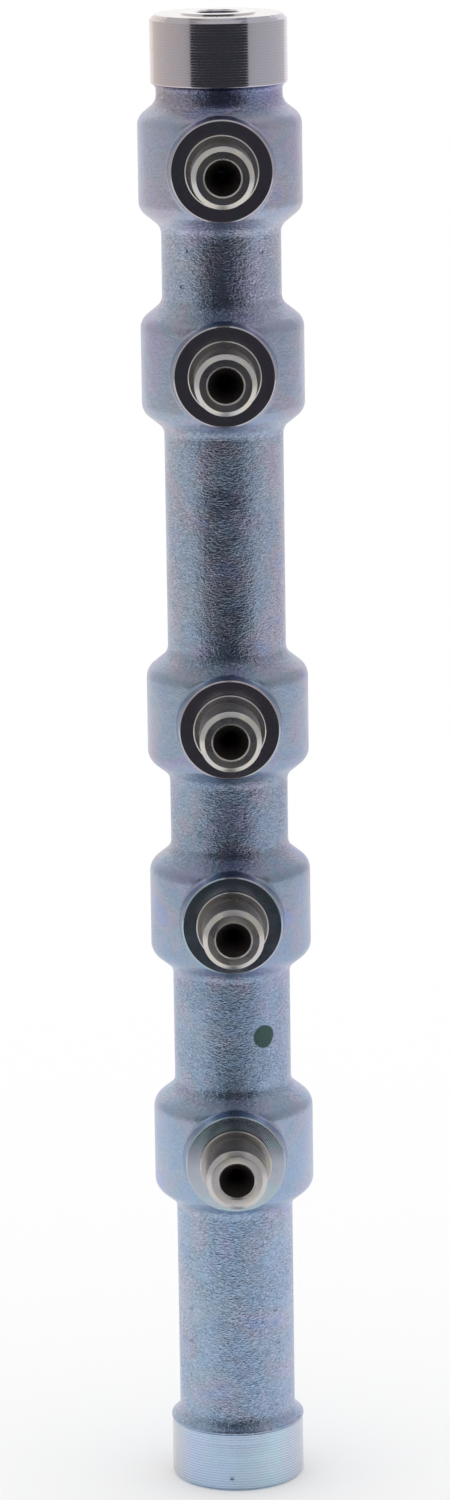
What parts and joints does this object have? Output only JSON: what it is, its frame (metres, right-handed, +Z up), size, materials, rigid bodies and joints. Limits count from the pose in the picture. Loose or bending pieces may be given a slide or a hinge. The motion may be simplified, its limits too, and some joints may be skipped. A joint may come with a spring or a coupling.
{
  "type": "fuel rail",
  "caption": "Forged steel high-pressure fuel rail: a bored tube with round bosses, each carrying a threaded nipple with a cone seat, and a port in each end.",
  "frame": {"origin": "centre of the lower end face, on the gallery's axis", "axes": "+Z up the gallery from the lower end to the upper one; the nipples point along -Y; +X is to the right when the nipples face the viewer"},
  "size_m": [0.0372, 0.0521, 0.3458],
  "materials": {
    "zinc_steel": "drop forged and part machined steel, zinc plated with a clear blue passivate"
  },
  "bodies": {
    "root": {"rail_body": "zinc_steel"}
  },
  "joints": []
}
